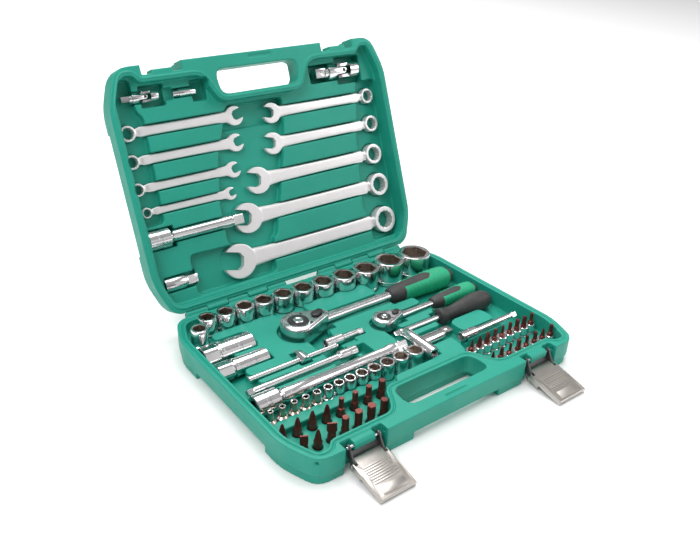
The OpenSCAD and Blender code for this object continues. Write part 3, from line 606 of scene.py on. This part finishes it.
BIT_KINDS = [("cross", 3.5), ("cross", 3.5), ("cross", 3.6), ("cross", 3.6), ("hex", 3.0), ("star", 3.3),
             ("hex", 3.4),
             ("star", 3.8)]
FRONT_KINDS = [("blade", 4.2), ("cross", 3.5), ("blade", 5.2), ("hex", 4.0), ("hex", 4.5), ("hex", 5.0),
               ("hex", 4.2)]
found = islands("screwdriver_bits")
front_y = min(lo[1] for lo, hi in found)
rows = {"rear": [b for b in found if b[0][1] > front_y + 8],
        "front": [b for b in found if b[0][1] <= front_y + 8]}
for row, kinds in (("rear", BIT_KINDS), ("front", FRONT_KINDS)):
    for i, (lo, hi) in enumerate(rows[row]):
        kind, size = kinds[i]
        c = middle(lo, hi)
        part = bit_part(kind, size, 7.8, 16.5, hi[2] - lo[2])
        piece(part, f"bit_{row}_{i + 1}", "screwdriver_bits", "bit_red", nodes=["screwdriver_bits"],
              matrix=at(c[0], c[1], lo[2]) @ Matrix.Rotation(-0.45 if kind == "blade" else 0.5 + i * 0.9,
                  4, "Z"), sharp=20)

SMALL_KINDS = [("cross", 1.7), ("cross", 2.2), ("cross", 2.6), ("blade", 2.3), ("blade", 2.8), ("hex",
    1.7), ("hex", 2.2),
               ("hex", 2.6), ("star", 1.6), ("star", 1.9), ("star", 2.1), ("star", 2.3), ("star", 2.6),
               ("cross", 2.4),
               ("blade", 2.6), ("hex", 2.4), ("star", 2.2)]
tips = islands("bit_socket_tips")
for i, (lo, hi) in enumerate(islands("bit_sockets")):
    c = middle(lo, hi)
    h = hi[2] - lo[2]
    rings = [(0, 5.4), (0.4, 5.9), (h * 0.4, 5.9), (h * 0.4 + 0.3, 5.5), (h * 0.55, 5.5), (h * 0.55 + 0.3,
        5.9),
             (h - 0.6, 5.9), (h, 5.3), (h, hex_r(6.9)), (h * 0.5, hex_r(6.5)), (8.2, 2.6), (8, square_r(6.4)),
             (0, square_r(6.4))]
    place = at(c[0], c[1], lo[2]) @ Matrix.Rotation(0.3 + i, 4, "Z")
    piece(stack(rings, True, 48), f"bit_socket_{i + 1}", "bit_sockets", "chrome", nodes=["bit_sockets"],
          matrix=place, sharp=24)
    kind, size = SMALL_KINDS[i]
    low, high = tips[i]
    place = at(c[0], c[1], low[2]) @ Matrix.Rotation(0.3 + i, 4, "Z")
    piece(bit_part(kind, size, 6.35, 12, high[2] - low[2]), f"bit_tip_{i + 1}", "bit_sockets", "bit_red",
          nodes=["bit_socket_tips"], matrix=place, sharp=20)


# ---------------------------------------------------------------- bars and drive pieces
def ball(x, y, z, r):
    rings = [(-r * math.cos(t), max(r * math.sin(t), 0.02)) for t in [math.pi * k / 10 for k in range(11)]]
    return moved(stack(rings, False, 24), at(x, y, z))


def drive_bar(drive, head_r, bar_r, length):
    """Extension bar along +Z: socketed head at the bottom, square with its ball at the top."""
    head = 2.15 * drive if drive > 10 else 3.6 * drive
    sq = drive - 0.2
    rings = [(0, head_r - 0.8), (0.8, head_r), (head * 0.42, head_r), (head * 0.42 + 0.3, head_r - 0.4),
             (head * 0.56, head_r - 0.4), (head * 0.56 + 0.3, head_r), (head - 0.4, head_r),
             (head + 0.2 * drive, bar_r + (head_r - bar_r) * 0.3), (head + 0.35 * drive, bar_r)]
    if length > 130 and drive > 10:
        rings += [(head + 6, bar_r), (head + 6.4, bar_r + 0.9), (head + 14, bar_r + 0.9), (head + 14.4,
            bar_r + 0.4),
                  (head + 46, bar_r + 0.4), (head + 48, bar_r - 0.2)]
    near = length - 4.2 * drive if length > 130 and drive < 10 else length - 2.3 * drive
    rings += [(near, bar_r - (0.2 if length > 130 else 0)), (near + 0.4 * drive, max(bar_r, drive * 0.6)),
              (length - 1.25 * drive, max(bar_r, drive * 0.6)), (length - 1.12 * drive, drive * 0.5),
              (length - 1.1 * drive, square_r(sq)), (length - 0.5, square_r(sq)), (length, square_r(sq - 1))]
    obj = raw(stack(rings, False))
    boolean(obj, stack([(-1, square_r(drive + 1)), (0, square_r(drive + 1)), (0.6, square_r(drive)),
                        (drive * 1.2, square_r(drive))]))
    return obj, ball(0, sq * 0.42, length - 0.6 * drive, 0.17 * drive)


def extension(node, drive, head_r, bar_r, matrix, length):
    obj, knob = drive_bar(drive, head_r, bar_r, length)
    piece(obj, node + "_bar", NODE_BODY[node], "chrome", nodes=[node], matrix=matrix, sharp=24)
    piece(knob, node + "_ball", NODE_BODY[node], "chrome", "steel_pin", matrix=matrix)


for node, drive, head_r, bar_r, turned in (("extension_half_long", 12.7, 11.8, 7, False),
                                           ("extension_quarter_long", 6.35, 6, 3.8, True),
                                           ("extension_quarter_mid", 6.35, 6, 3.8, False),
                                           ("extension_quarter_short", 6.35, 6, 3.8, False)):
    lo, hi = span(node)
    c = middle(lo, hi)
    start = at(hi[0], c[1], c[2]) @ BACK_X if turned else at(lo[0], c[1], c[2]) @ ALONG_X
    extension(node, drive, head_r, bar_r, start @ Matrix.Rotation(0.9, 4, "Z"), hi[0] - lo[0])
lo, hi = lid_span("extension_half_short")
c = middle(lo, hi)
extension("extension_half_short", 12.7, 11.8, 7, LID @ at(lo[0], c[1], c[2]) @ ALONG_X, hi[0] - lo[0])

# Spark-plug sockets, lying with their hexagon to the left.
for node, af in (("spark_socket_large", 21), ("spark_socket_small", 16)):
    lo, hi = span(node)
    c = middle(lo, hi)
    r, h = (hi[1] - lo[1]) / 2, hi[0] - lo[0]
    flats = hex_r(r * 1.84, r)
    rings = [(0, lambda a: flats(a) - 0.8), (0.8, flats), (h * 0.27, flats), (h * 0.27 + 0.8, r - 2.0),
             (h * 0.31, r - 2.0),
             (h * 0.31 + 0.5, r - 0.3), (h * 0.37, r - 0.3), (h * 0.37 + 0.4, r - 0.8), (h * 0.66, r - 0.8),
             (h * 0.66 + 0.3, r - 1.2), (h * 0.72, r - 1.2), (h * 0.72 + 0.3, r - 0.8), (h - 1.2, r - 0.8),
             (h, r - 1.9),
             (h, square_r(13.8)), (h - 0.6, square_r(12.8)), (h - 14, square_r(12.8)), (h - 14.2, 5.2),
             (30, 5.4), (29.8, hex_r(af)), (0.8, hex_r(af)), (0, hex_r(af + 0.9))]
    piece(stack(rings, True), node + "_piece", node, "chrome", nodes=[node],
          matrix=at(lo[0], c[1], c[2]) @ ALONG_X @ Matrix.Rotation(0.4, 4, "Z"), sharp=24)

# T-bar: rod with end collars, and a sliding head with its square.
lo, hi = span("tbar_rod")
c = middle(lo, hi)
h = hi[0] - lo[0]
rod = [(0, 2.9), (0.5, 3.4), (2, 3.5), (2.2, 3.0), (h - 2.2, 3.0), (h - 2, 3.5), (h - 0.5, 3.4), (h, 2.9)]
piece(stack(rod, False, 48), "tbar_rod_piece", "tbar_rod", "chrome", nodes=["tbar_rod"],
      matrix=at(lo[0], c[1], c[2]) @ ALONG_X, sharp=24)
lo, hi = span("tbar_head")
c = middle(lo, hi)
h = hi[1] - lo[1]
head = raw(stack([(0, 5.6), (0.8, 6.4), (12, 6.4), (13, 5.6), (13.2, square_r(6.2)), (h - 0.5, square_r(6.2)),
                  (h, square_r(5.2))]))
rod_c = middle(*span("tbar_rod"))
boolean(head, moved(stack([(-12, 3.1), (12, 3.1)], False, 48), at(0, 0, rod_c[1] - lo[1]) @ ALONG_X))
piece(head, "tbar_head_piece", "tbar_head", "chrome", nodes=["tbar_head"], matrix=at(c[0], lo[1],
    c[2]) @ ALONG_Y, sharp=24)

# Three-way adapter, and the small adapters in the lid.
dressed("tee_adapter", "tee_adapter", "chrome", 0.7, sharp=28)
dressed("half_adapter", "half_adapter", "chrome", 0.6, sharp=28)
dressed("bit_adapter", "bit_adapter", "chrome", 0.35, sharp=28)
for size in ("half", "quarter"):
    for part in ("drive", "cross", "socket"):
        node = f"ujoint_{size}_{part}"
        dressed(node, node, SLOT[node], 0.5 if size == "half" else 0.3, sharp=28)

# Spinner handle.
lo, hi = span("spinner_shaft")
c = middle(lo, hi)
rings = [(0, square_r(5.4)), (0.5, square_r(6.3)), (8.6, square_r(6.3)), (8.9, 4.3), (9.4, 4.5), (12, 4.5),
         (12.6, 3.6),
         (hi[0] - lo[0], 3.6)]
piece(stack(rings, False, 48), "spinner_shaft_piece", "spinner_handle", "chrome", nodes=["spinner_shaft"],
      matrix=at(lo[0], c[1], c[2]) @ ALONG_X @ Matrix.Rotation(0.5, 4, "Z"), sharp=24)
lo, hi = span("spinner_grip")
c = middle(lo, hi)
h = hi[0] - lo[0]
outline = [(0, 0.36), (0.012, 0.62), (0.035, 0.73), (0.07, 0.74), (0.12, 0.66), (0.2, 0.59), (0.3, 0.64),
           (0.45, 0.8),
           (0.6, 0.93), (0.74, 0.99), (0.85, 0.94), (0.93, 0.82), (0.975, 0.62), (0.995, 0.35), (1.0, 0.1)]
rings = [(h * t, oval_r(13 * k, 13 * k * (0.93 if t > 0.1 else 1), 2.35)) for t, k in outline]
grip = raw(stack(rings, False, 48))
m = grip.modifiers.new("smooth", "SUBSURF")
m.levels = 2
baked(grip)
piece(grip, "spinner_grip_piece", "spinner_handle", "grip_black", nodes=["spinner_grip"],
      matrix=at(lo[0], c[1], c[2]) @ ALONG_X, sharp=80)


# ---------------------------------------------------------------- ratchets
def teardrop(r0, r1, x, n=72):
    return hull2d(circle(r0, 0, 0, n) + circle(r1, x, 0, n))


def ratchet(size, k, drive):
    body = "ratchet_" + size
    pos = [c * 1000 for c in JOINTS[body + "_drive_spin"]["pos_m"]]
    place = at(pos[0], pos[1], pos[2])
    grip_lo, grip_hi = span(f"ratchet_{size}_grip")
    g0, g1 = grip_lo[0] - pos[0], grip_hi[0] - pos[0]
    gr = (grip_hi[1] - grip_lo[1]) / 2

    head = raw(prism(teardrop(21 * k, 9 * k, 33 * k), -9 * k, 11.5 * k))
    bevel(head, 2.4 * k, 5, 40)
    neck = raw(moved(stack([(24 * k, oval_r(6.5 * k, 9.5 * k, 3)), (34 * k, oval_r(6.6 * k, 8.8 * k, 3)),
                            (42 * k, oval_r(6.0 * k, 7.2 * k, 3)), (g0 * 0.6, oval_r(5.4 * k, 6.4 * k, 2.4)),
                            (g0 - 4, oval_r(5.6 * k, 6.6 * k, 2.4)), (g0 + 8,
                                oval_r(5.6 * k, 6.6 * k, 2.4))]), ALONG_X))
    boolean(head, neck, "UNION")
    boolean(head, stack([(-5.9 * k, 15.4 * k), (16 * k, 15.4 * k)]))
    boolean(head, stack([(-10 * k, 9.3 * k), (0, 9.3 * k)]))
    boolean(head, prism(teardrop(18.15 * k, 6.15 * k, 33 * k), 9.1 * k, 16 * k))
    piece(head, body + "_forging", body, "chrome", "ratchet_chrome", nodes=[body + "_body",
        body + "_pawl"], matrix=place, sharp=24)

    cover = raw(prism(teardrop(18 * k, 6 * k, 33 * k), 9.1 * k, 11.45 * k))
    bevel(cover, 0.45 * k, 2, 40)
    boolean(cover, stack([(0, 12.7 * k), (16 * k, 12.7 * k)]))
    boolean(cover, moved(prism(teardrop(6.6 * k, 5.6 * k, 6 * k, 48), 10.6 * k, 16 * k), at(24.5 * k, 0, 0)))
    screws = [(14.6 * k * math.cos(math.radians(50)) + 1.6 * k,
               s * 14.6 * k * math.sin(math.radians(50)) ) for s in (-1, 1)]
    for x, y in screws:
        boolean(cover, moved(stack([(10.8 * k, 1.75 * k), (15 * k, 1.75 * k)], False, 32), at(x, y, 0)))
    piece(cover, body + "_plate", body, "chrome", "ratchet_chrome", nodes=[body + "_cover"], matrix=place,
          sharp=24)
    for i, (x, y) in enumerate(screws):
        screw = moved(stack([(10.7 * k, 1.7 * k), (11.25 * k, 1.7 * k), (11.4 * k, 1.5 * k), (11.4 * k,
            hex_r(1.7 * k)),
                             (10.8 * k, hex_r(1.6 * k)), (10.75 * k, 0.05)], False, 36), at(x, y, 0))
        piece(screw, f"{body}_screw_{i + 1}", body, "chrome", "dark_steel", matrix=place, sharp=30)

    ring = stack([(-5.8 * k, 14.2 * k), (6 * k, 14.2 * k), (6.2 * k, 12.5 * k), (11.6 * k, 12.5 * k),
                  (12.1 * k, 12.0 * k),
                  (12.1 * k, 7.4 * k), (11.7 * k, 6.9 * k), (0, 6.9 * k), (0, 2 * k), (-5.8 * k, 2 * k)],
                  True)
    square = stack([(-9 * k - 12.3 * (drive / 12.7), square_r(drive - 1.4)),
                    (-9 * k - 11.6 * (drive / 12.7), square_r(drive - 0.2)),
                    (-9 * k, square_r(drive - 0.2)), (-9 * k, 8.9 * k), (-5.9 * k, 8.9 * k)])
    piece(joined(ring, square), body + "_drive_ring", body + "_drive", "dark_steel", nodes=[body + "_gear"],
          matrix=place, sharp=28)
    button = stack([(3 * k, 6.3 * k), (12.7 * k, 6.3 * k), (13.25 * k, 5.8 * k), (13.45 * k, 4.6 * k),
                    (13.1 * k, 3.6 * k), (13.0 * k, 0.1)])
    piece(button, body + "_button_piece", body + "_release", "chrome", nodes=[body + "_button"],
          matrix=place, sharp=30)

    lever = raw(prism(teardrop(5.0 * k, 4.2 * k, 7.5 * k, 48), 11.6 * k, 14.1 * k))
    bevel(lever, 1.0 * k, 4, 40)
    boolean(lever, stack([(10.75 * k, 3.2 * k), (12.2 * k, 3.2 * k)], False, 32), "UNION")
    boolean(lever, moved(stack([(13.4 * k, 3.4 * k), (17 * k, 5 * k)], False, 36), at(7.4 * k, 0, 0)))
    piece(lever, body + "_selector_piece", body + "_selector", "dark_steel", nodes=[body + "_lever"],
          matrix=place @ at(24 * k, 0, 0) @ Matrix.Rotation(0.35, 4, "Z"), sharp=30)

    # Two-tone grip: a dark core with green pads wrapped round it.
    length = g1 - g0
    shape = [(0, 0.5), (0.012, 0.62), (0.04, 0.7), (0.1, 0.78), (0.22, 0.84), (0.4, 0.9), (0.6, 0.97),
             (0.74, 0.99),
             (0.86, 0.95), (0.93, 0.86), (0.975, 0.68), (0.995, 0.4), (1.0, 0.12)]

    def radius(t):
        for (t0, r0), (t1, r1) in zip(shape, shape[1:]):
            if t <= t1:
                return gr * (r0 + (r1 - r0) * (t - t0) / (t1 - t0))
        return gr * shape[-1][1]
    core = raw(moved(stack([(g0 + length * t, oval_r(gr * r * 0.92, gr * r, 2.5)) for t, r in shape],
                           False, 48), ALONG_X))
    m = core.modifiers.new("smooth", "SUBSURF")
    m.levels = 2
    baked(core)
    boolean(core, moved(stack([(-30, 2.6 * (0.6 + 0.4 * k)), (30, 2.6 * (0.6 + 0.4 * k))], False, 36),
                        at(g1 - 9 * k - 1.5, 0, 0)))
    piece(core, body + "_grip_core", body, "grip_black", nodes=[body + "_grip"], matrix=place, sharp=50)

    # The pad covers the grip's flanks and its far top; a tongue of the dark core shows along the near top.
    steps, arc = 72, 60
    verts, faces = [], []
    t0, t1 = 0.2, 0.9
    for i in range(steps + 1):
        t = t0 + (t1 - t0) * i / steps
        u = i / steps
        gap = math.radians(34) * (1 - max(0.0, min(1.0, (u - 0.5) / 0.14)) ** 2) if u < 0.64 else 0.0
        ripple = 0.3 * math.sin(t * length / 5.6 * TAU / 1.2)
        for j in range(arc + 1):
            a = gap + (TAU - 2 * gap) * j / arc
            edge = min(1.0, min(u, 1 - u) * steps / 3.0)
            side = min(1.0, min(j, arc - j) / 3.0) if gap > 0.001 else 1.0
            rise = math.sqrt(min(edge, side))
            lift = 0.28 * rise + 0.04 + ripple * rise * min(edge, side)
            rr = (radius(t) + lift)
            f = (abs(math.cos(a) / 0.92) ** 2.5 + abs(math.sin(a)) ** 2.5) ** (-1 / 2.5)
            verts.append((g0 + length * t, rr * f * math.sin(a), rr * f * math.cos(a)))
    w = arc + 1
    for i in range(steps):
        for j in range(arc):
            faces.append((i * w + j, i * w + j + 1, (i + 1) * w + j + 1, (i + 1) * w + j))
    pad = raw((verts, faces))
    m = pad.modifiers.new("thick", "SOLIDIFY")
    m.thickness = 0.9
    m.offset = -1
    baked(pad)
    piece(pad, body + "_grip_pad", body, "grip_green", nodes=[body + "_inlay"], matrix=place, sharp=60)


ratchet("half", 1.0, 12.7)
ratchet("quarter", 0.67, 6.35)


# ---------------------------------------------------------------- combination wrenches
def wrench(node, s):
    lo, hi = lid_span(node)
    ring_od, open_w = max(1.43 * s + 1, 1.75 * s - 2.8), 1.98 * s
    ring_t, open_t = 0.45 * s + 3.5, 0.28 * s + 2
    c = middle(lo, hi)
    ring_left = s <= 12
    length = (hi[0] - lo[0]) - ring_od / 2 - open_w / 2
    x0 = lo[0] + ring_od / 2 if ring_left else hi[0] - ring_od / 2
    place = LID @ at(x0, c[1], c[2]) @ (Matrix.Identity(4) if ring_left else Matrix.Diagonal((-1, 1, 1, 1)))
    # the jaw's overall reach past the head's centre sets the length to the bounding box
    w0, w1, t0 = 0.45 * (0.8 * s + 2.6), 0.51 * (0.8 * s + 2.6), (0.24 * s + 2.4) / 2
    r = ring_od / 2
    shank = [(r * 0.4, oval_r(t0 * 0.9, w0 * 0.86, 4)), (r + 1.2, oval_r(t0 * 0.8, w0 * 0.84, 4)),
             (r + 3.2, oval_r(t0 * 0.84, w0 * 0.88, 4)), (r + 6, oval_r(t0, w0 * 1.08, 5)),
             (0.3 * length, oval_r(t0, w0 * 1.02, 5)), (0.5 * length, oval_r(t0 * 0.97, w0 * 1.02, 5)),
             (0.82 * length, oval_r(t0, w1, 5)), (length - open_w * 0.52, oval_r(t0, w1 * 1.12, 5)),
             (length - open_w * 0.4, oval_r(open_t / 2, w1 * 1.3, 5)), (length,
                 oval_r(open_t / 2, w1 * 1.2, 5))]
    body = moved(stack(shank, False, 64), ALONG_X)
    head = []
    for i in range(96):
        a = TAU * i / 96
        reach = 1.0 if math.cos(a) > 0 else 1.1
        head.append((length + open_w / 2 * math.cos(a) * reach, open_w / 2 * math.sin(a)))
    obj = raw(joined(body, prism(head, -open_t / 2, open_t / 2),
                     stack([(-ring_t / 2, r), (ring_t / 2, r)])))
    soft(obj, 0.6, 5)
    boolean(obj, stack([(-ring_t, bihex_r(s + 0.3)), (ring_t, bihex_r(s + 0.3))]))
    for side in (-1, 1):
        boolean(obj, moved(stack([(side * (ring_t / 2 - 0.9), s * 0.5), (side * (ring_t / 2 + 0.4), s * 0.62)]
                                 [::side], False, 72), Matrix.Identity(4)))
    jaw = Matrix.Translation((length, 0, 0)) @ Matrix.Rotation(math.radians(15), 4, "Z")
    slot = [(-0.26 * s, -s * 0.26), (-0.26 * s, s * 0.26), (0, s / 2), (2 * s, s / 2 + 0.6), (2 * s,
        -s / 2 - 0.6), (0, -s / 2)]
    boolean(obj, moved(prism(slot[::-1], -s, s), jaw))
    piece(obj, node + "_piece", node, "chrome", "satin_chrome", nodes=[node], matrix=place, sharp=34)


for s in (8, 10, 11, 12, 13, 14, 17, 19, 22):
    wrench(f"wrench_{s}", s)


# ---------------------------------------------------------------- floor, light and camera
floor_mat = material("pale_floor", lambda t, s: None, 0.0, 0.6, (0.93, 0.93, 0.93))
floor_obj = bpy.data.objects.new("floor", bpy.data.meshes.new("floor"))
floor_obj.data.from_pydata([(-6, -6, 0), (6, -6, 0), (6, 6, 0), (-6, 6, 0)], [], [(0, 1, 2, 3)])
floor_obj.data.materials.append(floor_mat)
SCENE.objects.link(floor_obj)
floor_obj.location.z = -0.0002
floor_obj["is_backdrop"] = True

world = bpy.data.worlds.new("studio")
bpy.context.scene.world = world
world.use_nodes = True
wt = world.node_tree
back = wt.nodes["Background"]
sky = wt.nodes.new("ShaderNodeTexCoord")
split = wt.nodes.new("ShaderNodeSeparateXYZ")
wt.links.new(sky.outputs["Generated"], split.inputs[0])
ramp = wt.nodes.new("ShaderNodeValToRGB")
for spot, level in ((0.0, 0.16), (0.55, 0.30), (0.78, 0.42), (1.0, 0.55)):
    e = ramp.color_ramp.elements[0] if spot == 0 else ramp.color_ramp.elements[1] if spot == 1 else \
        ramp.color_ramp.elements.new(spot)
    e.position = spot
    e.color = (level, level, level, 1)
wt.links.new(split.outputs["Z"], ramp.inputs[0])
wt.links.new(ramp.outputs[0], back.inputs["Color"])
back.inputs["Strength"].default_value = 1.0


def area_light(name, location, target, size, power, size_y=None):
    light = bpy.data.lights.new(name, "AREA")
    light.energy = power
    light.shape = "RECTANGLE"
    light.size = size
    light.size_y = size_y or size
    obj = bpy.data.objects.new(name, light)
    SCENE.objects.link(obj)
    obj.location = location
    obj.rotation_euler = (Vector(target) - Vector(location)).to_track_quat("-Z", "Y").to_euler()
    obj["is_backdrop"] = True
    return obj


area_light("key_soft", (-1.5, -0.5, 2.0), (0, 0.05, 0.1), 1.2, 35)
area_light("fill_soft", (1.9, -1.0, 1.3), (0, 0, 0.05), 1.3, 16)
area_light("top_soft", (0.3, 0.5, 2.4), (0, 0, 0), 1.5, 27)
area_light("back_soft", (0.9, 2.3, 2.3), (0.7, 1.4, 0), 2.0, 56)
area_light("card_soft", (1.3, -1.8, 0.75), (0, 0.1, 0.15), 1.6, 3.6)

camera = bpy.data.cameras.new("camera")
camera.sensor_width = 36
camera.lens = 36 * 731.55 / 700
camera.shift_x = 0.0489
camera.shift_y = 0.0055
cam = bpy.data.objects.new("camera", camera)
SCENE.objects.link(cam)
az, el, roll = (math.radians(a) for a in (-36.25, 29.3, 1.35))
out = Vector((math.sin(az) * math.cos(el), -math.cos(az) * math.cos(el), math.sin(el)))
target = Vector((-0.0244, 0.0803, 0.0619))
cam.location = target + out * 0.8706
cam.rotation_euler = (out.to_track_quat("Z", "Y").to_matrix().to_4x4() @ Matrix.Rotation(roll, 4,
    "Z")).to_euler()
camera.clip_start = 0.01
bpy.context.scene.camera = cam
bpy.context.scene.view_settings.view_transform = "Standard"

SIZE_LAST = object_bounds()
for label, size in (("first", SIZE_FIRST), ("last", SIZE_LAST)):
    json.dumps({label: [list(p) if hasattr(p, "__len__") else p for p in size]}) + "\n"
